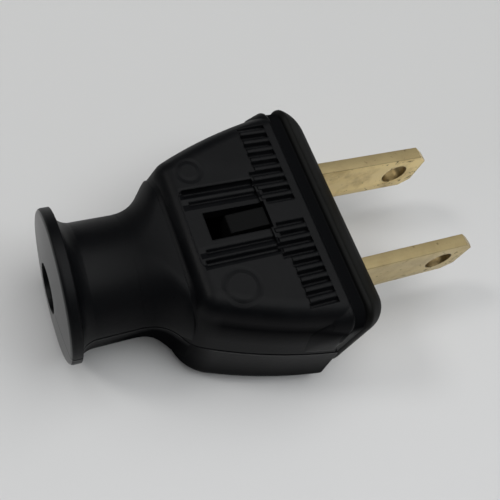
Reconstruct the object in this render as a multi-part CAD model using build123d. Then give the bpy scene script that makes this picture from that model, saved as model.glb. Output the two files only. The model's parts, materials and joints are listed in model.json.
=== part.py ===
# Two-prong plug: one moulded shell, a core that latches into it from the front, two blades and two screws.
# Millimetres. X runs along the blades and Z is up. The origin is the middle of the mating face.
import os

from build123d import *

# Blades
blade_spacing = 12.7
blade_height = 6.35
blade_thickness = 1.52
blade_reach = 16.0
hole_from_face = 11.9
hole_radius = 1.65
tip_chamfer_length = 1.7
tip_chamfer_height = 1.5
tip_bevel = 0.4

# Blade tails and their screws, inside the shell
tail_end = -13.4
tail_shoulder = -9.3
tail_height = 8.4
terminal_x = -11.4
screw_radius = 1.75
screw_hole_radius = 1.8
screw_head_radius = 2.6
screw_head_height = 1.6
screw_length = 3.4
screw_slot_width = 0.8
screw_slot_depth = 0.8
screw_head_round = 0.35
screw_tip_chamfer = 0.4
screw_clearance = 0.35

# Front plate of the core
plate_length = 4.4
plate_width = 28.0
plate_height = 15.0
plate_corner = 2.8
plate_nose_radius = 6.4
plate_side_radius = 5.0
plate_blend_radius = 2.5
plate_back_round = 0.5

# Core behind the plate
collar_length = 1.3
collar_top_inset = 1.0
collar_side_inset = 0.4
collar_corner = 2.3
slot_clearance = 0.05
spigot_end = -9.0
spigot_half_width = 10.1
spigot_top = 4.9
spigot_bottom = -5.9
spigot_wall = 1.4
spigot_corner = 1.2
block_end = -14.0
block_half_width = 5.45
block_top = 2.3
latch_half_width = 1.05
latch_root_top = 4.9
latch_thickness = 1.3
latch_end = -15.1
latch_front = -10.85
latch_land = 0.7
latch_high = 6.75
latch_low = 6.4
latch_tip_round = 0.25

# Shell: its side walls lean in above the middle plane and out a little below it
shell_front = -5.7
upper_back = -21.8
lower_back = -21.0
shell_top = 7.05
shell_bottom = -7.9
plan_start = -23.0
plan_reach = -2.0
half_width_back = 9.0
half_width_middle = 12.4
half_width_front = 14.3
middle_x = -13.6
lip_length = 2.2
lip_foot = 14.4
lip_shoulder = 13.6
lip_corner = 2.4
lip_taper = 20.0
lip_edge_round = 0.45
upper_back_corner = 3.2
lower_back_corner = 4.5
front_corner = 2.5
upper_draft = 13.0
lower_draft = -5.0
top_round = 2.2
bottom_round = 2.5
wall = 1.7
roof = 1.6
floor = 1.8
cavity_back = -19.8

# Neck and its flared end
neck_radius = 6.5
neck_drop = 1.0
neck_end = -29.7
flare_middle = -30.7
flare_middle_radius = 6.8
flare_middle_drop = 0.7
flange_start = -31.3
end_radius = 7.9
shoulder_steps = (-25.0, -23.9, -22.7, -21.7, -20.8)
shoulder_half_widths = (6.5, 6.62, 7.1, 8.05, 9.1)
shoulder_top = 5.5
shoulder_bottoms = (-7.5, -7.6, -7.75, -7.85, -7.85)
shoulder_corners = (6.45, 6.2, 5.6, 5.0, 4.6)
end_face_x = -32.45
end_dome = 0.4
end_dome_half_way = 0.3
end_round = 0.5
cord_hole_radius = 2.6
cord_hole_length = 2.4
neck_bore_radius = 4.1

# Window, panel and grip on the two faces
window_back = -17.4
window_front = -10.7
window_half_width = 1.55
panel_back = -19.3
panel_front = -11.0
panel_half_width = 4.35
panel_depth = 0.25
panel_corner = 0.8
border_groove = (0.8, 0.25, 0.3)
long_groove = (0.6, 0.15, 0.22)
long_groove_y = 2.75
long_groove_start = 0.9
border_groove_start = 0.5
grip_front = -7.1
grip_back = -10.3
grip_back_middle = -11.0
grip_middle_y = 5.2
grip_window_gap = 0.35
grip_first_y = 1.45
grip_pitch = 1.15
grip_count = 9
grip_groove = (0.62, 0.14, 0.42)

# Cutting tools: BIG is longer than the plug, spare is how far a cutter runs past a face
BIG = 60.0
spare = 1.0
window_cut = 8.0


def half_space(above):
    """Everything above the middle plane, or everything below it."""
    return Pos(0, 0, BIG / 2 if above else -BIG / 2) * Box(BIG * 2, BIG, BIG)


def half_width(x):
    """Half width of the body at the middle plane, on a shallow bow through the three widths."""
    back = (half_width_middle - half_width_back) / (middle_x - upper_back)
    front = (half_width_front - half_width_middle) / (shell_front - middle_x)
    bend = (front - back) / (shell_front - upper_back)
    return half_width_back + back * (x - upper_back) + bend * (x - upper_back) * (x - middle_x)


def plan(back, corner, inset=0.0):
    """Outline of the body seen from above: both halves share its bowed sides, and its back is cut at x = back."""
    middle = (plan_start + plan_reach) / 2
    at_start = half_width(plan_start) - inset
    at_middle = half_width(middle) - inset
    at_front = half_width(plan_reach) - inset
    with BuildSketch() as s:
        with BuildLine():
            ThreePointArc((plan_start, -at_start), (middle, -at_middle), (plan_reach, -at_front))
            Line((plan_reach, -at_front), (plan_reach, at_front))
            ThreePointArc((plan_reach, at_front), (middle, at_middle), (plan_start, at_start))
            Line((plan_start, at_start), (plan_start, -at_start))
        make_face()
        with Locations((back + BIG / 2, 0)):
            Rectangle(BIG, BIG, mode=Mode.INTERSECT)
        fillet(s.vertices().group_by(Axis.X)[0], corner)
        fillet(s.vertices().group_by(Axis.X)[-1], front_corner)
    return s.sketch


def ring(x, radius, z):
    """Round face across the neck."""
    return Plane.YZ.offset(x) * Pos(0, z) * Circle(radius)


def shoulder_solid():
    """Swelling from the round neck into the back of the body."""
    faces = []
    for k, x in enumerate(shoulder_steps):
        height = shoulder_top - shoulder_bottoms[k]
        outline = RectangleRounded(2 * shoulder_half_widths[k], height, shoulder_corners[k])
        faces.append(Plane.YZ.offset(x) * Pos(0, (shoulder_top + shoulder_bottoms[k]) / 2) * outline)
    return loft(faces)


def neck_solid():
    """Round neck a little below the middle plane, its shoulder, and the flared end with its domed face."""
    neck = extrude(ring(cavity_back, neck_radius, -neck_drop), amount=neck_end - cavity_back)
    middle_ring = ring(flare_middle, flare_middle_radius, -flare_middle_drop)
    flare = loft([ring(neck_end, neck_radius, -neck_drop), middle_ring, ring(flange_start, end_radius, 0)])
    rim_x = end_face_x + end_round
    rim_low = end_radius - end_round
    with BuildSketch(Plane.XY) as s:
        with BuildLine():
            Polyline((flange_start, 0), (flange_start, end_radius), (rim_x, end_radius))
            TangentArc((rim_x, end_radius), (end_face_x, rim_low), tangent=(-1, 0))
            half_way = (end_face_x - end_dome_half_way, end_radius / 2)
            ThreePointArc((end_face_x, rim_low), half_way, (end_face_x - end_dome, 0))
            Line((end_face_x - end_dome, 0), (flange_start, 0))
        make_face()
    return neck + flare + revolve(s.sketch, Axis.X, 360) + shoulder_solid()


def body_solid():
    """Upper and lower halves of the body before it is hollowed."""
    upper = extrude(plan(upper_back, upper_back_corner), amount=shell_top, dir=(0, 0, 1), taper=upper_draft)
    upper = fillet(upper.edges().group_by(Axis.Z)[-1], top_round)
    outline = plan(lower_back, lower_back_corner)
    lower = extrude(outline, amount=-shell_bottom, dir=(0, 0, -1), taper=lower_draft)
    lower = fillet(lower.edges().group_by(Axis.Z)[0], bottom_round)
    behind = Pos(shell_front - BIG / 2, 0, 0) * Box(BIG, BIG, BIG)
    behind_lip = Pos(shell_front - lip_edge_round - BIG / 2, 0, 0) * Box(BIG, BIG, BIG)
    return (upper & behind_lip) + lip_solid() + (lower & behind)


def lip_solid():
    """Flared lip round the mouth of the upper half, narrowing towards the neck."""
    with BuildSketch(Plane.YZ.offset(shell_front)) as s:
        with BuildLine():
            Polyline((-lip_foot, 0), (-lip_shoulder, shell_top),
                     (lip_shoulder, shell_top), (lip_foot, 0), close=True)
        make_face()
        fillet(s.vertices().group_by(Axis.Z)[-1], lip_corner)
    lip = extrude(s.sketch, amount=lip_length, dir=(-1, 0, 0), taper=lip_taper)
    return fillet(lip.edges().group_by(Axis.X)[-1], lip_edge_round) & half_space(True)


def cavity_solid():
    """Hollow of the body, open to the front, and the passage for the cord."""
    outline = plan(upper_back, upper_back_corner, inset=wall)
    upper = extrude(outline, amount=shell_top - roof, dir=(0, 0, 1), taper=upper_draft)
    outline = plan(lower_back, lower_back_corner, inset=wall)
    lower = extrude(outline, amount=-shell_bottom - floor, dir=(0, 0, -1), taper=lower_draft)
    ahead = Pos(cavity_back + BIG / 2, 0, 0) * Box(BIG, BIG, BIG)
    bore_end = end_face_x + cord_hole_length
    bore_length = cavity_back + spare - bore_end
    bore = Pos(bore_end + bore_length / 2, 0, 0) * Rot(0, 90, 0) * Cylinder(neck_bore_radius, bore_length)
    hole = Pos(end_face_x, 0, 0) * Rot(0, 90, 0) * Cylinder(cord_hole_radius, 4 * cord_hole_length)
    return ((upper + lower) & ahead) + bore + hole


def groove(x_from, x_to, y, z, size, up):
    """Cutter for a straight groove with sloping sides. The size is its width, floor width and depth."""
    width, floor_width, depth = size
    side = 1 if up else -1
    with BuildSketch(Plane((x_from, y, z), x_dir=(0, 1, 0), z_dir=(1, 0, 0))) as s:
        with BuildLine():
            Polyline((-width / 2, 0), (-width / 2, side), (width / 2, side), (width / 2, 0),
                     (floor_width / 2, -side * depth), (-floor_width / 2, -side * depth), close=True)
        make_face()
    return extrude(s.sketch, amount=x_to - x_from)


def grip_grooves(z, up):
    """Grip behind the front plate: grooves along X, their back ends on a curve."""
    cuts = []
    for k in range(grip_count):
        y = grip_first_y + grip_pitch * k
        middle = y < grip_middle_y
        beside_window = up and y < window_half_width + grip_pitch
        back = grip_back_middle if middle else grip_back
        back = window_front + grip_window_gap if beside_window else back
        for sign in (1, -1):
            cuts.append(groove(back, grip_front, sign * y, z, grip_groove, up))
    return cuts


def panel_cuts():
    """Sunken panel round the window, with a groove along each border and one each side of the window."""
    length = panel_front - panel_back
    middle = (panel_front + panel_back) / 2
    top = shell_top - panel_depth
    sunk = Pos(middle, 0, top + spare) * Box(length, 2 * panel_half_width, 2 * spare)
    sunk = fillet(sunk.edges().filter_by(Axis.Z).group_by(Axis.X)[0], panel_corner)
    cuts = [sunk]
    border_back = panel_back + border_groove_start
    border_y = panel_half_width - border_groove[0] / 2
    long_back = panel_back + long_groove_start
    for sign in (1, -1):
        cuts.append(groove(border_back, panel_front, sign * border_y, top, border_groove, True))
        cuts.append(groove(long_back, panel_front, sign * long_groove_y, top, long_groove, True))
    return cuts


def make_shell():
    """Outer moulding in one piece."""
    solid = body_solid() + neck_solid() - cavity_solid()
    window_length = window_front - window_back
    window = Box(window_length, 2 * window_half_width, window_cut)
    solid = solid - Pos((window_front + window_back) / 2, 0, shell_top) * window
    for cut in panel_cuts() + grip_grooves(shell_top, True) + grip_grooves(shell_bottom, False):
        solid = solid - cut
    return solid


def plate_solid():
    """Front plate: rounded rectangle with a bull nose above and below and rounded sides."""
    long = 3 * plate_nose_radius
    face = RectangleRounded(plate_width, plate_height, plate_corner)
    across = extrude(Plane.YZ * face, amount=-plate_length)
    block = Pos(-long / 2, 0, 0) * Box(long, plate_width, plate_height)
    nose = fillet(block.edges().filter_by(Axis.Y).group_by(Axis.X)[-1], plate_nose_radius)
    sides = fillet(block.edges().filter_by(Axis.Z).group_by(Axis.X)[-1], plate_side_radius)
    both = nose & sides
    ahead = both.edges().filter_by(lambda e: e.center().X > -plate_nose_radius)
    corners = ahead.filter_by(lambda e: abs(e.center().Y) > plate_width / 2 - plate_side_radius)
    corners = corners.filter_by(lambda e: abs(e.center().Z) > plate_height / 4)
    plate = across & fillet(corners, plate_blend_radius)
    return fillet(plate.edges().group_by(Axis.X)[0], plate_back_round)


def blade_slots():
    """Slots through the plate and the collar, with a little play round each blade."""
    reach = plate_length + collar_length + 2 * spare
    width = blade_thickness + 2 * slot_clearance
    height = blade_height + 2 * slot_clearance
    slot = Pos(spare - reach / 2, 0, 0) * Box(reach, width, height)
    return [Pos(0, sign * blade_spacing / 2, 0) * slot for sign in (1, -1)]


def make_core():
    """Insulating core: plate, collar, open spigot, middle block and sprung latch."""
    solid = plate_solid()
    collar_width = plate_width - 2 * collar_side_inset
    collar_face = RectangleRounded(collar_width, plate_height - 2 * collar_top_inset, collar_corner)
    solid += extrude(Plane.YZ.offset(-plate_length) * collar_face, amount=-collar_length)
    spigot_height = spigot_top - spigot_bottom
    spigot_face = RectangleRounded(2 * spigot_half_width, spigot_height, spigot_corner)
    inner_width = 2 * (spigot_half_width - spigot_wall)
    inner_face = Rectangle(inner_width, spigot_height - 2 * spigot_wall)
    spigot_ring = Pos(0, (spigot_top + spigot_bottom) / 2) * (spigot_face - inner_face)
    start = Plane.YZ.offset(-plate_length - collar_length)
    spigot_length = shell_front - spigot_end
    solid += extrude(start * spigot_ring, amount=-spigot_length)
    block_height = block_top - spigot_bottom
    block_length = shell_front - block_end
    block = Pos(shell_front - block_length / 2, 0, spigot_bottom + block_height / 2) * Box(
        block_length, 2 * block_half_width, block_height)
    solid += block
    solid += latch_solid()
    screw_tip = blade_spacing / 2 + blade_thickness / 2 - screw_length
    pocket_end = screw_tip - screw_clearance
    pocket_length = block_half_width + spare - pocket_end
    pocket = Cylinder(screw_radius + screw_clearance, pocket_length)
    for sign in (1, -1):
        solid -= Pos(terminal_x, sign * (pocket_end + pocket_length / 2), 0) * Rot(90, 0, 0) * pocket
    for slot in blade_slots():
        solid -= slot
    return solid


def latch_solid():
    """Latch: a sprung tongue whose raised end stands in the window of the shell."""
    underside = latch_root_top - latch_thickness
    with BuildSketch(Plane.XZ) as s:
        with BuildLine():
            Polyline((shell_front, latch_root_top), (latch_front, latch_root_top), (latch_front, latch_high),
                     (latch_front - latch_land, latch_high), (latch_end, latch_low), (latch_end, underside),
                     (shell_front, underside), close=True)
        make_face()
    tongue = extrude(s.sketch, amount=latch_half_width, both=True)
    return fillet(tongue.edges().filter_by(Axis.Y).group_by(Axis.X)[0], latch_tip_round)


def make_blade(sign):
    """Blade with chamfered tip, tip hole, and a taller tail behind the spigot with a hole for its screw."""
    half = blade_height / 2
    tail = tail_height / 2
    tip_start = blade_reach - tip_chamfer_length
    with BuildSketch(Plane.XZ) as s:
        with BuildLine():
            Polyline((tail_end, tail), (tail_shoulder, tail), (tail_shoulder, half), (tip_start, half),
                     (blade_reach, half - tip_chamfer_height), (blade_reach, -half + tip_chamfer_height),
                     (tip_start, -half), (tail_shoulder, -half), (tail_shoulder, -tail), (tail_end, -tail),
                     close=True)
        make_face()
        with Locations((hole_from_face, 0)):
            Circle(hole_radius, mode=Mode.SUBTRACT)
        with Locations((terminal_x, 0)):
            Circle(screw_hole_radius, mode=Mode.SUBTRACT)
    solid = extrude(s.sketch, amount=blade_thickness / 2, both=True)
    tip = solid.edges().filter_by(Axis.Z).group_by(Axis.X)[-1]
    solid = chamfer(tip, tip_bevel)
    return Pos(0, sign * blade_spacing / 2, 0) * solid


def make_screw(sign):
    """Terminal screw: slotted head on the outer side of the blade's tail."""
    head = Pos(0, 0, screw_head_height / 2) * Cylinder(screw_head_radius, screw_head_height)
    head = fillet(head.edges().group_by(Axis.Z)[-1], screw_head_round)
    shank = Pos(0, 0, -screw_length / 2) * Cylinder(screw_radius, screw_length)
    shank = chamfer(shank.edges().group_by(Axis.Z)[0], screw_tip_chamfer)
    slot = Pos(0, 0, screw_head_height) * Box(BIG, screw_slot_width, 2 * screw_slot_depth)
    screw = head + shank - slot
    seat = blade_spacing / 2 + blade_thickness / 2
    return Pos(terminal_x, sign * seat, 0) * Rot(-90 * sign, 0, 0) * screw


def save(name, solid):
    """Write one piece, which has to be a single solid."""
    pieces = solid.solids()
    print(name, "solids", len(pieces), "volume mm3", round(solid.volume, 1))
    assert len(pieces) == 1
    export_step(pieces[0], f"parts/{name}.step")


os.makedirs("parts", exist_ok=True)
save("shell", make_shell())
save("core", make_core())
for side, sign in (("left", 1), ("right", -1)):
    save(f"blade_{side}", make_blade(sign))
    save(f"screw_{side}", make_screw(sign))
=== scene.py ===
# %% [markdown]
# This lesson dresses a two-prong mains plug for a picture.
# The measured solids come in first as a fixed frame, and nothing here moves them.
# The steps are camera, table, light, black mouldings, grip ribs, brass blades, soft blends and screws.

# %% Load the fixed frame
import json
import math

import bmesh
import bpy
from mathutils import Matrix, Vector

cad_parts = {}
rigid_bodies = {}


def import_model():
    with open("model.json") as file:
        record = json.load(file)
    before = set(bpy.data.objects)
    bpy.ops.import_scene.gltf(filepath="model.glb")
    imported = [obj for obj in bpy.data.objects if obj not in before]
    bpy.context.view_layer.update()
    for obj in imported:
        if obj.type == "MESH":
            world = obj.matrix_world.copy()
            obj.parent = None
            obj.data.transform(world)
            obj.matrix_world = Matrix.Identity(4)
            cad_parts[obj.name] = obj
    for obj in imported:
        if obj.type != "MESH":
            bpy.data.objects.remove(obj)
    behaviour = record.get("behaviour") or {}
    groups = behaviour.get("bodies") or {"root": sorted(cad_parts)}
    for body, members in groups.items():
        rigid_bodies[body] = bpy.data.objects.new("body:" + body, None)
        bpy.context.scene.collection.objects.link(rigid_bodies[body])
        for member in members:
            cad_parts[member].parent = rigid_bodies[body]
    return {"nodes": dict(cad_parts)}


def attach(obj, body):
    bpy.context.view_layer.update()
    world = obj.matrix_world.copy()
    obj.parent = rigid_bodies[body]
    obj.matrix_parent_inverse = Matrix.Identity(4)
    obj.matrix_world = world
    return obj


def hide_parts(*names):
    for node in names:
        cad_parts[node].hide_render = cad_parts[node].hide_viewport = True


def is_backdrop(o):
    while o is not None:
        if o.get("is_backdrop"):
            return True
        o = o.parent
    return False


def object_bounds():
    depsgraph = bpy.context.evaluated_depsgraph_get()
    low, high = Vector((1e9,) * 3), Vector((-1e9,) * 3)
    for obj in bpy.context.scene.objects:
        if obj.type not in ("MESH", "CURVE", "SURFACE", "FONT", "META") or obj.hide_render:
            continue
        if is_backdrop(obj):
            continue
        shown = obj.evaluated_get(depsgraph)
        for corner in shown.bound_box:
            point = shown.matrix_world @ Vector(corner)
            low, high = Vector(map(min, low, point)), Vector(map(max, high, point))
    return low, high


MM = 0.001

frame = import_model()
cad_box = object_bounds()
scene = bpy.context.scene
print("pieces in the frame:", sorted(frame["nodes"]))

# %% [markdown]
# The camera looks down on the plug from behind its near side, 58 degrees below the level.
# Its place came from fitting the corners of the two blades, whose real sizes are standard.
# A camera in Blender looks along its own -Z with +Y up.
# So the three directions of the picture become the columns of its matrix.

# %% Camera
CAMERA_PLACE = Vector((-39.35103, -26.86111, 61.81515)) * MM
PICTURE_RIGHT = Vector((0.90027663, -0.34281187, 0.26829464))
PICTURE_DOWN = Vector((-0.1935658, -0.86728188, -0.45864411))
LOOKING = Vector((0.38991573, 0.36097391, -0.84715026))
FOCAL_IN_PIXELS = 656.412
PICTURE_PIXELS = 500
SENSOR_MM = 36.0
NEAR_CLIP = 1.0 * MM


def add_camera():
    """A camera with the photograph's place, direction and focal length."""
    data = bpy.data.cameras.new("photo_camera")
    data.sensor_width = SENSOR_MM
    data.lens = FOCAL_IN_PIXELS / PICTURE_PIXELS * SENSOR_MM
    data.clip_start = NEAR_CLIP
    camera = bpy.data.objects.new("photo_camera", data)
    turn = Matrix((PICTURE_RIGHT, -PICTURE_DOWN, -LOOKING)).transposed().to_4x4()
    camera.matrix_world = Matrix.Translation(CAMERA_PLACE) @ turn
    scene.collection.objects.link(camera)
    scene.camera = camera
    print("lens mm:", round(data.lens, 2))


add_camera()

# %% [markdown]
# Every material below is a tree of nodes, and long formulas are hard to read as a list of nodes.
# One small class wraps a socket, so that a + b adds a Math node and the formula stays an ordinary sum.

# %% Sums with sockets
def put(tree, socket, value):
    """Link a wire into a socket, or write a plain value there."""
    if isinstance(value, Wire):
        tree.links.new(value.socket, socket)
    else:
        socket.default_value = value


class Wire:
    """A value that comes out of a node and can be used in sums."""

    def __init__(self, tree, socket):
        self.tree, self.socket = tree, socket

    def maths(self, operation, *terms):
        """A Math node with these terms in its sockets."""
        node = self.tree.nodes.new("ShaderNodeMath")
        node.operation = operation
        for slot, term in zip(node.inputs, terms):
            put(self.tree, slot, term)
        return Wire(self.tree, node.outputs[0])

    def __add__(self, other):
        return self.maths("ADD", self, other)

    def __mul__(self, other):
        return self.maths("MULTIPLY", self, other)

    def __sub__(self, other):
        return self.maths("SUBTRACT", self, other)

    def __rsub__(self, other):
        return self.maths("SUBTRACT", other, self)

    def __truediv__(self, other):
        return self.maths("DIVIDE", self, other)

    def __rtruediv__(self, other):
        return self.maths("DIVIDE", other, self)

    def __pow__(self, other):
        return self.maths("POWER", self, other)

    def size(self):
        """The value without its sign."""
        return self.maths("ABSOLUTE", self)

    def below(self, other):
        """1 where the value is less than the other, else 0."""
        return self.maths("LESS_THAN", self, other)

    def clipped(self):
        """The value kept between 0 and 1."""
        return self.maths("MINIMUM", self.maths("MAXIMUM", self, 0.0), 1.0)

    __radd__ = __add__
    __rmul__ = __mul__


# %% [markdown]
# Every node that isn't a sum is made by one method, which sets its options and then fills its sockets.
# These two classes serve materials, the world and Geometry Nodes, because each of them is a node tree.

# %% One method for every other node
class Board:
    """A node tree with one method that adds any node."""

    def __init__(self, tree):
        self.tree = tree

    def node(self, kind, settings=(), sockets=(), out=0):
        """Make a node: its settings first, then the values or links of its sockets."""
        made = self.tree.nodes.new(kind)
        for key, value in dict(settings).items():
            setattr(made, key, value)
        for key, value in dict(sockets).items():
            put(self.tree, made.inputs[key], value)
        return Wire(self.tree, made.outputs[out])

    def parts_of(self, vector):
        """The x, y and z of a vector as three wires."""
        split = self.node("ShaderNodeSeparateXYZ", {}, {0: vector}).socket.node
        return [Wire(self.tree, socket) for socket in split.outputs]


# %% [markdown]
# Every finish on the plug is procedural: noise and masks placed by the object's own coordinates.
# That needs no image and no unwrapping, and the marks stay where they are from any camera.
# Where shade should fall, or a reflection should be dimmer, a matt black is mixed in by a mask as painted
# shade.

# %% One class for every material
def colour(red, green, blue):
    """A linear colour with full alpha."""
    return (red, green, blue, 1.0)


# A matt black, mixed in by a mask as painted shade.
SHADE_BLACK = {"Base Color": colour(0.0045, 0.0047, 0.0052), "Roughness": 1.0, "Specular IOR Level": 0.0}
BEVEL_SAMPLES = 4


class Finish(Board):
    """One material, built node by node on Object coordinates."""

    def __init__(self, name):
        self.material = bpy.data.materials.new(name)
        self.material.use_nodes = True
        super().__init__(self.material.node_tree)
        self.tree.nodes.clear()
        self.place = self.node("ShaderNodeTexCoord", out="Object")
        self.x, self.y, self.z = self.parts_of(self.place)

    def noise(self, scale, detail=4.0, roughness=0.5, place=None):
        """Soft random values between 0 and 1, scale in features per metre."""
        sockets = {"Vector": place or self.place, "Scale": scale, "Detail": detail, "Roughness": roughness}
        return self.node("ShaderNodeTexNoise", {}, sockets, out="Fac")

    def stretched(self, factors):
        """Object coordinates scaled along each axis, for marks that run one way."""
        return self.node("ShaderNodeMapping", {}, {"Vector": self.place, "Scale": factors})

    def mix(self, amount, low, high):
        """Two colours mixed by a mask."""
        return self.node("ShaderNodeMix", {"data_type": "RGBA"}, {0: amount, 6: low, 7: high}, out=2)

    def rise(self, value, floor, gain):
        """How far a value stands above a floor, times a gain, kept between 0 and 1."""
        return ((value - floor) * gain).clipped()

    def line(self, distance, half):
        """A mask that is 1 where the distance is zero and fades to 0 at half."""
        return (1.0 - distance.size() / half).clipped()

    def bump(self, height, strength, distance, below=None):
        """A bump from a height, over another normal where one is given."""
        sockets = {"Height": height, "Strength": strength, "Distance": distance}
        if below:
            sockets["Normal"] = below
        return self.node("ShaderNodeBump", {}, sockets)

    def eased(self, radius):
        """Normals that round off sharp edges by a small radius."""
        return self.node("ShaderNodeBevel", {"samples": BEVEL_SAMPLES}, {"Radius": radius})

    def finish(self, shade_mask=None, **sockets):
        """Put the values on the main shader, mix in a matt black by a mask as painted shade, and connect the
        result.
        """
        names = {key: key.replace("_", " ").title() for key in sockets}
        names["specular"] = "Specular IOR Level"
        values = {names[key]: value for key, value in sockets.items()}
        shader = self.node("ShaderNodeBsdfPrincipled", {}, values)
        if shade_mask:
            matt = self.node("ShaderNodeBsdfPrincipled", {}, SHADE_BLACK)
            shader = self.node("ShaderNodeMixShader", {}, {0: shade_mask, 1: shader, 2: matt})
        output = self.tree.nodes.new("ShaderNodeOutputMaterial")
        self.tree.links.new(shader.socket, output.inputs["Surface"])
        return self.material


# %% [markdown]
# The plug lies on a plain pale table, which is stage and not part of the object.
# The table is large enough that its edge never shows beside the plug.
# Painted light makes it a little paler on the near side, and very faint clouds keep it from looking drawn.

# %% Table
TABLE_HALF = 2.0
TABLE_COLOUR = colour(0.66, 0.66, 0.66)
TABLE_SHADE = colour(0.60, 0.60, 0.60)
TABLE_NEAR_LIT = colour(0.73, 0.73, 0.737)
NEAR_FROM = 10.0 * MM
NEAR_FADE = 40.0 * MM
PAPER_CLOUDS = (60.0, 3.0)
PAPER_CLOUD_AMOUNT = 0.12
PAPER_ROUGH = 0.8
PAPER_GLOSS = 0.2


def add_table(height):
    """A flat pale table under the plug's lowest point."""
    mesh = bpy.data.meshes.new("table")
    corners = [(-1, -1), (1, -1), (1, 1), (-1, 1)]
    mesh.from_pydata([(x * TABLE_HALF, y * TABLE_HALF, height) for x, y in corners], [], [(0, 1, 2, 3)])
    table = bpy.data.objects.new("table", mesh)
    scene.collection.objects.link(table)
    paper = Finish("table_paper")
    # Painted light: the table turns paler towards the near side.
    shade = paper.mix(((NEAR_FROM - paper.y) / NEAR_FADE).clipped(), TABLE_COLOUR, TABLE_NEAR_LIT)
    shade = paper.mix(paper.noise(*PAPER_CLOUDS) * PAPER_CLOUD_AMOUNT, shade, TABLE_SHADE)
    mesh.materials.append(paper.finish(base_color=shade, roughness=PAPER_ROUGH, specular=PAPER_GLOSS))
    table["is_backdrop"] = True
    print("table at z mm:", round(height / MM, 2))


add_table(cad_box[0][2])

# %% [markdown]
# Black plastic shows its shape only by what it reflects, so the room matters as much as the lamps.
# The room is dark low down all round, bright overhead, and a little brighter beyond the blades.
# A world shader gives that as a sum of the direction's own x and z.

# %% Room
ROOM_LOW = 0.02
ROOM_OVERHEAD = 0.65
ROOM_OVERHEAD_POWER = 4.0
ROOM_BEYOND = 0.06
ROOM_BEYOND_POWER = 4.0
ROOM_TINT = colour(0.95, 0.98, 1.0)


def set_room():
    """A surround whose brightness depends only on the direction."""
    world = bpy.data.worlds.new("room")
    world.use_nodes = True
    world.node_tree.nodes.clear()
    room = Board(world.node_tree)
    x, _, z = room.parts_of(room.node("ShaderNodeTexCoord", out="Generated"))
    overhead = z.clipped() ** ROOM_OVERHEAD_POWER * ROOM_OVERHEAD
    strength = overhead + x.clipped() ** ROOM_BEYOND_POWER * ROOM_BEYOND + ROOM_LOW
    surround = room.node("ShaderNodeBackground", {}, {"Color": ROOM_TINT, "Strength": strength})
    output = room.tree.nodes.new("ShaderNodeOutputWorld")
    room.tree.links.new(surround.socket, output.inputs["Surface"])
    scene.world = world
    print("room nodes:", len(world.node_tree.nodes))


set_room()

# %% [markdown]
# Three area lamps stand in for soft boxes, each a wide square, so every shadow has a soft rim.
# A broad one overhead carries most of the light.
# A smaller one behind the cord end stands at 45 degrees and throws the faint shadows of the blades forwards.
# The last is weak and a little blue, like a window, and draws the sheen on the neck.
# Each has its place and its width in metres, its watts and its colour.
# The plain Standard view then shows the tones as the lamps make them.

# %% Lamps
AIM = Vector((-8.0, 0.0, 0.0)) * MM
LAMPS = {"overhead": ((0.20, 0.01, 1.07), 1.35, 9.4, (1.0, 0.995, 0.985)),
         "behind": ((-0.72, 0.36, 0.74), 0.22, 2.1, (1.0, 0.985, 0.96)),
         "window": ((0.46, -0.44, 1.00), 0.30, 0.3, (0.75, 0.95, 1.0))}


def add_lamp(name, place, size, watts, tint):
    """A square area lamp aimed at the middle of the plug."""
    data = bpy.data.lights.new(name, "AREA")
    data.size, data.energy, data.color = size, watts, tint
    lamp = bpy.data.objects.new(name, data)
    lamp.location = place
    lamp.rotation_euler = (AIM - Vector(place)).to_track_quat("-Z", "Y").to_euler()
    scene.collection.objects.link(lamp)
    print(name, "watts:", watts)


for lamp_name, lamp_values in LAMPS.items():
    add_lamp(lamp_name, *lamp_values)
scene.view_settings.view_transform = "Standard"

# %% [markdown]
# The shell is black plastic, moulded in two halves of a steel mould.
# Where the halves meet, a thin raised line runs round the sides at mid height.
# Round marks on the top are left by the pins that push the part out of its mould.
# Each pin mark has its place and its radius in millimetres.
# The ribbed channels beside the window have worn, softer sides than the solid.
# All of it is far too shallow to be worth a mesh, so it becomes bumps in the material.

# %% Moulded marks
TOP_SKIN = 6.0 * MM
PIN_MARKS = [(-16.2, -7.0, 1.75), (-17.3, 6.5, 1.2)]
PIN_MARK_EDGE = 0.40 * MM
PANEL_BANDS = (2.75, 4.0)
PANEL_BAND_HALF = 0.66 * MM
PANEL_MIDDLE = -14.9 * MM
PANEL_REACH = 4.2 * MM


def pin_marks(skin):
    """A ring for each ejector pin, on the top of the shell only."""
    marks = None
    for x, y, radius in PIN_MARKS:
        from_centre = ((skin.x - x * MM) ** 2.0 + (skin.y - y * MM) ** 2.0) ** 0.5
        ring = skin.line(from_centre - radius * MM, PIN_MARK_EDGE)
        marks = marks + ring if marks else ring
    return marks * (1.0 - skin.z.below(TOP_SKIN))


def panel_bands(skin):
    """Soft channels along the sunken panel, one pair each side of the window."""
    inside = (skin.x - PANEL_MIDDLE).size().below(PANEL_REACH) * (1.0 - skin.z.below(TOP_SKIN))
    away = skin.y.size()
    bands = [skin.line(away - place * MM, PANEL_BAND_HALF) for place in PANEL_BANDS]
    return (bands[0] + bands[1]).clipped() * inside


print("ejector marks:", len(PIN_MARKS), "channels each side:", len(PANEL_BANDS))

# %% [markdown]
# Painted shade darkens bands of the walls, the neck's root and the neck's underside, where the reflections
# should be dimmer.
# One mask says where, from the distance along the plug and the height, and fades so that no edge shows.
# Each shaded band of a wall has its height and half its width in millimetres, and how much painted shade it
# gets.

# %% Painted shade on the shell
BODY_STARTS = -21.0 * MM
BODY_FADE = 2.5 * MM
WALL_SHADE = [(4.2, 2.4, 0.95), (-5.2, 4.6, 0.75)]
NECK_ROOT = -24.0 * MM
NECK_ROOT_HALF = 5.0 * MM
NECK_ROOT_SHADE = 0.6
UNDER_NECK_FADE = 1.2 * MM
UNDER_NECK_SHADE = 0.7
FLANGE_STARTS = -31.0 * MM


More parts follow.
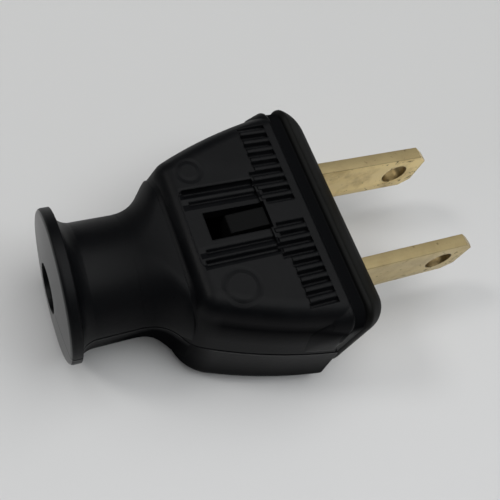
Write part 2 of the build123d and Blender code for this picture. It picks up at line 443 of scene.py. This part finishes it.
def painted_wall_neck_shade(skin):
    """Painted shade: bands of the walls above and below their middle, the neck's root and underside."""
    on_body = ((skin.x - BODY_STARTS) / BODY_FADE).clipped()
    walls = [skin.line(skin.z - place * MM, half * MM) * amount for place, half, amount in WALL_SHADE]
    root = skin.line(skin.x - NECK_ROOT, NECK_ROOT_HALF) * NECK_ROOT_SHADE
    on_neck = (1.0 - on_body) * (1.0 - skin.x.below(FLANGE_STARTS))
    under = ((0.0 - skin.z) / UNDER_NECK_FADE).clipped() * on_neck * UNDER_NECK_SHADE
    return ((walls[0] + walls[1]) * on_body + root + under).clipped()


# These bands on each wall are painted shade.
print("worn bands on each wall:", len(WALL_SHADE))

# %% [markdown]
# The skin itself is satin: roughness drifts in soft patches, and a fine grain breaks the reflections.
# Dust makes the black a little greyer here and there, and the end face round the cord's hole is shinier.
# A noise is given by its scale in features per metre, its detail and its roughness.
# The heights of the marks are in millimetres, because the bump's own distance is one millimetre.
# A Bevel node rounds the reflections along every sharp edge, as a mould does, with no extra faces.

# %% Black shell
SHELL_BLACK = colour(0.0019, 0.0021, 0.0027)
SHELL_DUSTY = colour(0.0072, 0.0074, 0.0082)
SHELL_GLOSS = 0.105
SHELL_ROUGH = 0.34
PATCHES, PATCH_ROUGH = (170.0, 5.0, 0.6), 0.12
CLOUDS, CLOUD_ROUGH, CLOUD_HEIGHT = (420.0, 4.0, 0.6), 0.06, 0.015
PATCH_DUST = (0.42, 2.2)
PATCH_DUST_AMOUNT = 0.7
CLOUD_DUST = (0.5, 2.0)
CLOUD_DUST_AMOUNT = 0.4
GRAIN, GRAIN_STRENGTH = (2600.0, 3.0, 0.6), 0.22
GRAIN_HEIGHT = 0.05 * MM
EDGE_EASE = 0.22 * MM
PARTING_HALF = 0.25 * MM
PARTING_HEIGHT = 0.18
PIN_MARK_DEPTH, PIN_MARK_ROUGH = 0.06, 0.1
PANEL_BAND_DEPTH = 0.20
END_FACE_STARTS = -32.3 * MM
END_FACE_SHINE, END_FACE_ROUGH = 0.6, 0.3


def shell_plastic():
    """Black moulded plastic with a parting line, ejector marks, dust, rougher patches and painted shade on
    the walls and neck.
    """
    skin = Finish("shell_plastic")
    patches, clouds, grain = skin.noise(*PATCHES), skin.noise(*CLOUDS), skin.noise(*GRAIN)
    marks = pin_marks(skin)
    dust = skin.rise(patches, *PATCH_DUST) * PATCH_DUST_AMOUNT
    dust = dust + skin.rise(clouds, *CLOUD_DUST) * CLOUD_DUST_AMOUNT
    shade = skin.mix(dust.clipped(), SHELL_BLACK, SHELL_DUSTY)
    rough = SHELL_ROUGH + patches * PATCH_ROUGH + clouds * CLOUD_ROUGH + marks * PIN_MARK_ROUGH
    relief = skin.line(skin.z, PARTING_HALF) * PARTING_HEIGHT - marks * PIN_MARK_DEPTH
    relief = relief - panel_bands(skin) * PANEL_BAND_DEPTH + clouds * CLOUD_HEIGHT
    shaped = skin.bump(relief, 1.0, 1.0 * MM, skin.eased(EDGE_EASE))
    normal = skin.bump(grain, GRAIN_STRENGTH, GRAIN_HEIGHT, shaped)
    shine = skin.x.below(END_FACE_STARTS) * END_FACE_SHINE
    # The walls and neck get painted shade: a matt black mixed in by the mask.
    return skin.finish(base_color=shade, roughness=rough, normal=normal, specular=SHELL_GLOSS,
                       coat_weight=shine, coat_roughness=END_FACE_ROUGH, shade_mask=painted_wall_neck_shade(skin))


shell_finish = shell_plastic()
print("shell nodes:", len(shell_finish.node_tree.nodes))

# %% [markdown]
# The core is a separate moulding, and it shows in two places: the front plate, and the latch in the window.
# Little light reaches the latch or the gap behind the front plate, so both get painted shade from a matt
# black.
# The rounded nose of the plate gets a little painted shade as well, which dims its reflection.
# As on the shell, one mask says where, from the distance along the plug and the height.

# %% Painted shade on the core
TONGUE_ENDS = -7.0 * MM
TONGUE_SHADE = 0.6
GAP_MIDDLE = -5.05 * MM
GAP_HALF = 0.90 * MM
GAP_FADE = 0.40 * MM
GAP_FOOT = 3.0 * MM
GAP_RISE = 2.0 * MM
NOSE_STARTS = -3.4 * MM
NOSE_FADE = 0.8 * MM
NOSE_SHADE = 0.45


def painted_core_shade(skin):
    """Painted shade on the latch, the upper part of the gap behind the front plate, and the plate's rounded
    nose.
    """
    tongue = skin.x.below(TONGUE_ENDS) * TONGUE_SHADE
    gap = ((GAP_HALF - (skin.x - GAP_MIDDLE).size()) / GAP_FADE).clipped()
    gap = gap * ((skin.z - GAP_FOOT) / GAP_RISE).clipped()
    nose = ((skin.x - NOSE_STARTS) / NOSE_FADE).clipped() * NOSE_SHADE
    return (tongue + gap + nose).clipped()


print("gap behind the plate mm:", round(2 * GAP_HALF / MM, 2))

# %% [markdown]
# The core's black is slightly browner than the shell's, because it is a harder, heat-proof grade.
# Its face is a little smoother than the rest, with fine scuffs across it that outlets have left.
# A noise squeezed along one axis makes such scuffs, because its blobs become streaks.

# %% Black core
CORE_BLACK = colour(0.0018, 0.0019, 0.0015)
CORE_DUSTY = colour(0.0060, 0.0062, 0.0054)
CORE_GLOSS = 0.11
CORE_ROUGH = 0.46
CORE_PATCHES, CORE_PATCH_ROUGH = (200.0, 5.0, 0.6), 0.12
CORE_DUST_FLOOR = 0.3
CORE_GRAIN, CORE_GRAIN_STRENGTH = (3000.0, 3.0, 0.6), 0.2
FACE_DEPTH = 4.0 * MM
FACE_SMOOTHER = 0.02
SCUFF_STRETCH = (300.0, 400.0, 3600.0)
SCUFFS = (1.0, 3.0, 0.6)
SCUFF_SPREAD = (0.6, 5.0)
SCUFF_PALE, SCUFF_ROUGH, SCUFF_STRENGTH = 0.3, 0.15, 0.1
SCUFF_HEIGHT = 0.04 * MM


def core_plastic():
    """Heat-proof moulding with scuffs that run across the face."""
    skin = Finish("core_plastic")
    patches, grain = skin.noise(*CORE_PATCHES), skin.noise(*CORE_GRAIN)
    scuffs = skin.noise(*SCUFFS, skin.stretched(SCUFF_STRETCH))
    face = (1.0 + skin.x / FACE_DEPTH).clipped()
    scuffed = skin.rise(scuffs, *SCUFF_SPREAD) * face
    shade = skin.mix((patches - CORE_DUST_FLOOR).clipped() + scuffed * SCUFF_PALE, CORE_BLACK, CORE_DUSTY)
    rough = CORE_ROUGH + patches * CORE_PATCH_ROUGH - face * FACE_SMOOTHER + scuffed * SCUFF_ROUGH
    scratched = skin.bump(scuffs, SCUFF_STRENGTH, SCUFF_HEIGHT, skin.eased(EDGE_EASE))
    normal = skin.bump(grain, CORE_GRAIN_STRENGTH, GRAIN_HEIGHT, scratched)
    # The latch, the gap and the nose get painted shade from the mask.
    return skin.finish(base_color=shade, roughness=rough, normal=normal,
                       specular=CORE_GLOSS, shade_mask=painted_core_shade(skin))


core_finish = core_plastic()
print("core nodes:", len(core_finish.node_tree.nodes))

# %% [markdown]
# The ribs, the blades and the blends below are all shaped by modifiers, which only describe a change.
# One helper runs them and keeps the plain mesh that results, because live modifiers are lost on export.
# The other measures such a mesh in millimetres.

# %% Plain meshes and their size
def solved(thing):
    """The mesh of an object once its modifiers have run."""
    return bpy.data.meshes.new_from_object(thing.evaluated_get(bpy.context.evaluated_depsgraph_get()))


def measure(mesh):
    """Lowest and highest corner of a mesh in millimetres."""
    places = [corner.co / MM for corner in mesh.vertices]
    low = [round(min(place[axis] for place in places), 2) for axis in range(3)]
    high = [round(max(place[axis] for place in places), 2) for axis in range(3)]
    return low, high


# %% [markdown]
# Geometry Nodes grow meshes from rules, which suits a row of ribs.
# This class opens a tree with named inputs for the sizes, so the rule can be read apart from its numbers.
# The tree ends by turning its instances into real faces, because instances are lost on export too.

# %% Geometry tree helper
class Growth(Board):
    """A geometry tree with named number inputs, ready to grow one plain piece."""

    def __init__(self, name, **inputs):
        super().__init__(bpy.data.node_groups.new(name, "GeometryNodeTree"))
        self.name, self.values = name, inputs
        self.ids = {key: self.add_input(key, value) for key, value in inputs.items()}
        self.tree.interface.new_socket("Geometry", in_out="OUTPUT", socket_type="NodeSocketGeometry")
        self.source = self.tree.nodes.new("NodeGroupInput")

    def add_input(self, key, value):
        """A named number input, and the identifier that its modifier calls it by."""
        kind = "NodeSocketInt" if isinstance(value, int) else "NodeSocketFloat"
        return self.tree.interface.new_socket(key, in_out="INPUT", socket_type=kind).identifier

    def given(self, key):
        """The wire of a named input."""
        return Wire(self.tree, self.source.outputs[key])

    def vector(self, x=0.0, y=0.0, z=0.0):
        """A vector put together from three numbers or wires."""
        return self.node("ShaderNodeCombineXYZ", {}, {0: x, 1: y, 2: z})

    def joined(self, *pieces):
        """Several geometries as one."""
        join = self.tree.nodes.new("GeometryNodeJoinGeometry")
        for piece in pieces:
            self.tree.links.new(piece.socket, join.inputs[0])
        return Wire(self.tree, join.outputs[0])

    def grow(self, geometry, material):
        """End the tree, run it on an empty mesh and keep only the resulting mesh."""
        solid = self.node("GeometryNodeRealizeInstances", {}, {0: geometry})
        solid = self.node("GeometryNodeSetMaterial", {}, {"Geometry": solid, "Material": material})
        output = self.tree.nodes.new("NodeGroupOutput")
        self.tree.links.new(solid.socket, output.inputs[0])
        host = bpy.data.objects.new(self.name + "_host", bpy.data.meshes.new("host"))
        scene.collection.objects.link(host)
        modifier = host.modifiers.new("growth", "NODES")
        modifier.node_group = self.tree
        for key, value in self.values.items():
            modifier[self.ids[key]] = value
        mesh = solved(host)
        mesh.name = self.name
        bpy.data.objects.remove(host)
        piece = bpy.data.objects.new(self.name, mesh)
        scene.collection.objects.link(piece)
        print(self.name, "faces:", len(mesh.polygons), "size mm:", measure(mesh))
        return piece


# %% [markdown]
# Fingers pull the plug by a band of ribs behind its front plate.
# The frame has the grooves between them, and each land between two grooves still has a flat top.
# On the real plug the tops are rolled, so each gets a slim crest.
# One curve swept with an oval is enough, because the tree copies it along a row and mirrors the row.
# The ribs nearest the window reach further back, so a switch on the rib's own distance sets its length.

# %% Grip crests
GRIP = {"Count": 8, "First": 2.025 * MM, "Pitch": 1.15 * MM, "Front": -7.16 * MM,
        "Long": 3.6 * MM, "Short": 3.05 * MM, "Long Until": 5.2 * MM,
        "Half Width": 0.31 * MM, "Height": 0.13 * MM, "Top": 7.03 * MM}
SPINE_POINTS = 17
OVAL_SIDES = 14
END_STEEPNESS = 12.0
END_SIZE = 0.04


def grip_crests(material):
    """Rolled tops for the lands between the grip grooves, on both sides of the window."""
    grip = Growth("grip_crests", **GRIP)
    first = grip.vector(grip.given("Front"), grip.given("First"), grip.given("Top"))
    step = grip.vector(0.0, grip.given("Pitch"), 0.0)
    row = grip.node("GeometryNodeMeshLine", {"mode": "OFFSET"}, {
        "Count": grip.given("Count"), "Start Location": first, "Offset": step})
    spine = grip.node("GeometryNodeCurvePrimitiveLine", {}, {
        "Start": (0.0, 0.0, 0.0), "End": (-1.0, 0.0, 0.0)})
    spine = grip.node("GeometryNodeResampleCurve", {}, {"Curve": spine, "Count": SPINE_POINTS})
    along = grip.node("GeometryNodeSplineParameter", out="Factor")
    from_end = 0.5 - (along - 0.5).size()
    swell = (from_end * END_STEEPNESS).clipped() ** 0.5 * (1.0 - END_SIZE) + END_SIZE
    spine = grip.node("GeometryNodeSetCurveRadius", {}, {"Curve": spine, "Radius": swell})
    oval = grip.node("GeometryNodeCurvePrimitiveCircle", {}, {"Resolution": OVAL_SIDES, "Radius": 1.0})
    oval = grip.node("GeometryNodeTransform", {}, {
        "Geometry": oval, "Scale": grip.vector(grip.given("Half Width"), grip.given("Height"), 1.0)})
    crest = grip.node("GeometryNodeCurveToMesh", {}, {
        "Curve": spine, "Profile Curve": oval, "Fill Caps": True})
    across = grip.parts_of(grip.node("GeometryNodeInputPosition"))[1]
    inner = across.below(grip.given("Long Until"))
    length = grip.given("Short") + inner * (grip.given("Long") - grip.given("Short"))
    crests = grip.node("GeometryNodeInstanceOnPoints", {}, {
        "Points": row, "Instance": crest, "Scale": grip.vector(length, 1.0, 1.0)})
    mirrored = grip.node("GeometryNodeTransform", {}, {
        "Geometry": grip.node("GeometryNodeRealizeInstances", {}, {0: crests}), "Scale": (1.0, -1.0, 1.0)})
    mirrored = grip.node("GeometryNodeFlipFaces", {}, {0: mirrored})
    return grip.grow(grip.joined(crests, mirrored), material)


crests = grip_crests(shell_finish)
crests.data.shade_smooth()
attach(crests, "root")

# %% [markdown]
# The blades are punched from brass strip, which leaves dark metal in the wall of the hole and at the end.
# Years of use add small dark specks, most of them near the tips.
# Both are masks by distance: from the hole's middle, and along the blade.

# %% Dark places on brass
HOLE_X = 11.9 * MM
HOLE_WALL = 1.72 * MM
HOLE_DARK = 0.75
TIP_END = 15.2 * MM
TIP_FADE = 0.8 * MM
TIP_DARK = 0.6
TIP_STARTS = 9.0 * MM
TIP_LONG = 6.0 * MM
TIP_SPECKS = 0.05
SPOTS = (1500.0, 2.0, 0.5)
SPECK_FLOOR = 0.66
SPECK_GAIN = 14.0


def punched_places(skin):
    """The wall of the tip hole and the end of the tip."""
    from_hole = ((skin.x - HOLE_X) ** 2.0 + skin.z ** 2.0) ** 0.5
    tip = ((skin.x - TIP_END) / TIP_FADE).clipped()
    return from_hole.below(HOLE_WALL) * HOLE_DARK + tip * TIP_DARK


def dark_specks(skin):
    """Specks where a fine noise peaks, a few more of them near the tips."""
    near_tip = ((skin.x - TIP_STARTS) / TIP_LONG).clipped()
    return ((skin.noise(*SPOTS) - SPECK_FLOOR + near_tip * TIP_SPECKS) * SPECK_GAIN).clipped()


print("hole's wall reaches mm:", round(HOLE_WALL / MM, 2))

# %% [markdown]
# Rolling leaves faint lines along the strip, and handling leaves brown tarnish in patches.
# The sheared edges are duller than the faces, and the faces of the near blade are darker than the far one's.
# The brass is one metal, so only its colour and its roughness change, over two very shallow bumps.

# %% Brass finish
BRASS_CLEAN = colour(0.92, 0.74, 0.38)
BRASS_TARNISHED = colour(0.50, 0.36, 0.15)
BRASS_SPECK = colour(0.16, 0.11, 0.05)
BRASS_SHEARED = colour(0.32, 0.26, 0.145)
BRASS_ROUGH = 0.32
LINE_STRETCH = (120.0, 4000.0, 4000.0)
LINES, LINE_ROUGH, LINE_STRENGTH = (1.0, 2.0, 0.5), 0.12, 0.2
LINE_HEIGHT = 0.04 * MM
TARNISH, TARNISH_ROUGH, TARNISH_STRENGTH = (300.0, 5.0, 0.65), 0.14, 0.15
TARNISH_HEIGHT = 0.06 * MM
TARNISH_SPREAD, TARNISH_AMOUNT = (0.46, 3.5), 0.8
SPECK_AMOUNT, SPECK_ROUGH = 0.8, 0.2
SHEARED_EDGE = 3.10 * MM
SHEARED_AMOUNT, SHEARED_ROUGH = 0.8, 0.15
NEAR_BLADE_DARKER = 0.46


def brass_strip():
    """Rolled brass with lines along X, light tarnish, specks near the tips and duller sheared edges."""
    skin = Finish("blade_brass")
    lines = skin.noise(*LINES, skin.stretched(LINE_STRETCH))
    tarnish, specks = skin.noise(*TARNISH), dark_specks(skin)
    shade = skin.mix(skin.rise(tarnish, *TARNISH_SPREAD) * TARNISH_AMOUNT, BRASS_CLEAN, BRASS_TARNISHED)
    shade = skin.mix(specks * SPECK_AMOUNT, shade, BRASS_SPECK)
    sheared = 1.0 - skin.z.size().below(SHEARED_EDGE)
    # The near blade's faces are mixed towards a darker brass.
    near_faces_darker = skin.y.below(0.0) * (1.0 - sheared) * NEAR_BLADE_DARKER
    shade = skin.mix(sheared * SHEARED_AMOUNT + near_faces_darker, shade, BRASS_SHEARED)
    shade = skin.mix(punched_places(skin), shade, BRASS_SPECK)
    rough = BRASS_ROUGH + lines * LINE_ROUGH + tarnish * TARNISH_ROUGH + specks * SPECK_ROUGH
    rough = rough + sheared * SHEARED_ROUGH
    uneven = skin.bump(tarnish, TARNISH_STRENGTH, TARNISH_HEIGHT)
    normal = skin.bump(lines, LINE_STRENGTH, LINE_HEIGHT, uneven)
    return skin.finish(base_color=shade, metallic=1.0, roughness=rough, normal=normal)


brass_finish = brass_strip()
print("brass nodes:", len(brass_finish.node_tree.nodes))

# %% [markdown]
# A punch rounds one side of every edge slightly, and that thin round catches the light.
# Each blade of the frame is copied, and its seams are merged.
# Then a Bevel modifier rounds its sharp edges, and the copy replaces the frame's own blade.

# %% Blades with eased edges
BLADE_EDGE = 0.13 * MM
BLADE_EDGE_STEPS = 3
SHARP_ANGLE = math.radians(30)
FLAT_ANGLE = math.radians(1)
MERGE_WITHIN = 0.001 * MM


def merged_copy(node, name, flatten):
    """A new object with a node's shape and merged seams, and with whole flat faces if asked."""
    mesh = frame["nodes"][node].data.copy()
    work = bmesh.new()
    work.from_mesh(mesh)
    bmesh.ops.remove_doubles(work, verts=work.verts, dist=MERGE_WITHIN)
    if flatten:
        bmesh.ops.dissolve_limit(work, angle_limit=FLAT_ANGLE, verts=work.verts, edges=work.edges)
    work.to_mesh(mesh)
    work.free()
    copy = bpy.data.objects.new(name, mesh)
    scene.collection.objects.link(copy)
    return copy


def as_piece(name, mesh, material):
    """A linked object that holds a finished mesh, smooth and in one material."""
    mesh.materials.clear()
    mesh.materials.append(material)
    mesh.shade_smooth()
    piece = bpy.data.objects.new(name, mesh)
    scene.collection.objects.link(piece)
    print(name, "faces:", len(mesh.polygons), "size mm:", measure(mesh))
    return piece


def eased_blade(side):
    """A blade with rounded edges in the place of the frame's blade."""
    name = f"brass_blade_{side}"
    blade = merged_copy(f"blade_{side}", name, True)
    bevel = blade.modifiers.new("edge", "BEVEL")
    bevel.width, bevel.segments, bevel.angle_limit = BLADE_EDGE, BLADE_EDGE_STEPS, SHARP_ANGLE
    mesh = solved(blade)
    bpy.data.objects.remove(blade)
    piece = as_piece(name, mesh, brass_finish)
    mesh.set_sharp_from_angle(angle=SHARP_ANGLE)
    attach(piece, "root")
    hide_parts(f"blade_{side}")


for side in ("left", "right"):
    eased_blade(side)

# %% [markdown]
# The neck swells into the body without a seam, and the flared lip at the mouth grows out of the side wall.
# In the frame these meet in a shallow crease, because a soft blend over so many faces seldom builds in CAD.
# Here a slice of the shell is cut out with a box, rebuilt as even voxels and smoothed.
# Smoothing fills hollows and lowers ridges, so the slice shows only in the crease and hides under the rest.
# At the lip the hollow is too deep for that, so the slice is first wrapped in its convex hull, as if in foil.

# %% Cutter and wrapping
def cutting_box(low, high):
    """A plain box, used only to cut."""
    work = bmesh.new()
    middle = (Vector(low) + Vector(high)) / 2 * MM
    size = (Vector(high) - Vector(low)) * MM
    bmesh.ops.create_cube(work, size=1.0, matrix=Matrix.Translation(middle) @ Matrix.Diagonal((*size, 1.0)))
    mesh = bpy.data.meshes.new("cutter")
    work.to_mesh(mesh)
    work.free()
    box = bpy.data.objects.new("cutter", mesh)
    scene.collection.objects.link(box)
    return box


def wrapped(mesh):
    """The convex hull of a mesh."""
    work = bmesh.new()
    for corner in mesh.vertices:
        work.verts.new(corner.co)
    bmesh.ops.convex_hull(work, input=work.verts)
    bmesh.ops.delete(work, geom=[corner for corner in work.verts if not corner.link_faces], context="VERTS")
    hull = bpy.data.meshes.new("hull")
    work.to_mesh(hull)
    work.free()
    return hull


# %% [markdown]
# Each blend has the two corners of its box in millimetres, its count of smoothing passes, and a yes or no
# for the wrapping.
# Every slice is sunk by a hair after the remesh, so that it never fights with the surface that it lies under.

# %% Soft blends
VOXEL = 0.22 * MM
SINK = 0.03 * MM
SMOOTH_FACTOR = 0.5
BLENDS = {"neck_blend": ((-26.4, -14.0, -9.0), (-18.6, 14.0, 9.0), 50, False),
          "near_lip_blend": ((-10.2, -16.0, 0.02), (-5.74, -12.4, 9.0), 26, True),
          "far_lip_blend": ((-10.2, 12.4, 0.02), (-5.74, 16.0, 9.0), 26, True)}


def soft_blend(name, low, high, passes, wrap):
    """A smoothed slice of the shell, sunk a little so that it shows only where it fills a crease."""
    part, box = merged_copy("shell", name, False), cutting_box(low, high)
    cut = part.modifiers.new("cut", "BOOLEAN")
    cut.operation, cut.solver, cut.object = "INTERSECT", "EXACT", box
    slice_mesh = solved(part)
    part.modifiers.clear()
    part.data = wrapped(slice_mesh) if wrap else slice_mesh
    even = part.modifiers.new("even", "REMESH")
    even.mode, even.voxel_size = "VOXEL", VOXEL
    sink = part.modifiers.new("sink", "DISPLACE")
    sink.strength, sink.mid_level = -SINK, 0.0
    smooth = part.modifiers.new("smooth", "SMOOTH")
    smooth.factor, smooth.iterations = SMOOTH_FACTOR, passes
    mesh = solved(part)
    bpy.data.objects.remove(part)
    bpy.data.objects.remove(box)
    piece = as_piece(name, mesh, shell_finish)
    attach(piece, "root")


for blend_name, blend_values in BLENDS.items():
    soft_blend(blend_name, *blend_values)

# %% [markdown]
# The terminal screws are plated steel and sit inside the shell, seen only through the open neck.
# Their finish is plain, with fine turning marks.

# %% Screw finish
STEEL = colour(0.55, 0.55, 0.53)
STEEL_ROUGH = 0.3
TURNING = (1500.0, 3.0)
TURNING_ROUGH, TURNING_STRENGTH = 0.15, 0.1
TURNING_HEIGHT = 0.04 * MM


def plated_steel():
    """Plated steel with fine marks."""
    skin = Finish("screw_steel")
    marks = skin.noise(*TURNING)
    return skin.finish(base_color=STEEL, metallic=1.0, roughness=STEEL_ROUGH + marks * TURNING_ROUGH,
                       normal=skin.bump(marks, TURNING_STRENGTH, TURNING_HEIGHT))


screw_finish = plated_steel()
print("steel nodes:", len(screw_finish.node_tree.nodes))

# %% [markdown]
# Four pieces of the frame already have their final shape, so they keep it and only get a finish.

# %% Dress the frame's own pieces
FINISH_OF = {"shell": shell_finish, "core": core_finish,
             "screw_left": screw_finish, "screw_right": screw_finish}
for node, finish in FINISH_OF.items():
    for material_slot in frame["nodes"][node].material_slots:
        material_slot.material = finish
print("dressed:", sorted(FINISH_OF))

# %% [markdown]
# Last, the box of the dressed plug is measured and printed, and both boxes are kept in one list.

# %% Measure the dressed box
visual_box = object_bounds()
plain = [[list(corner) for corner in box] for box in (cad_box, visual_box)]
print("dressed box mm:", [[round(value / MM, 2) for value in corner] for corner in plain[1]])
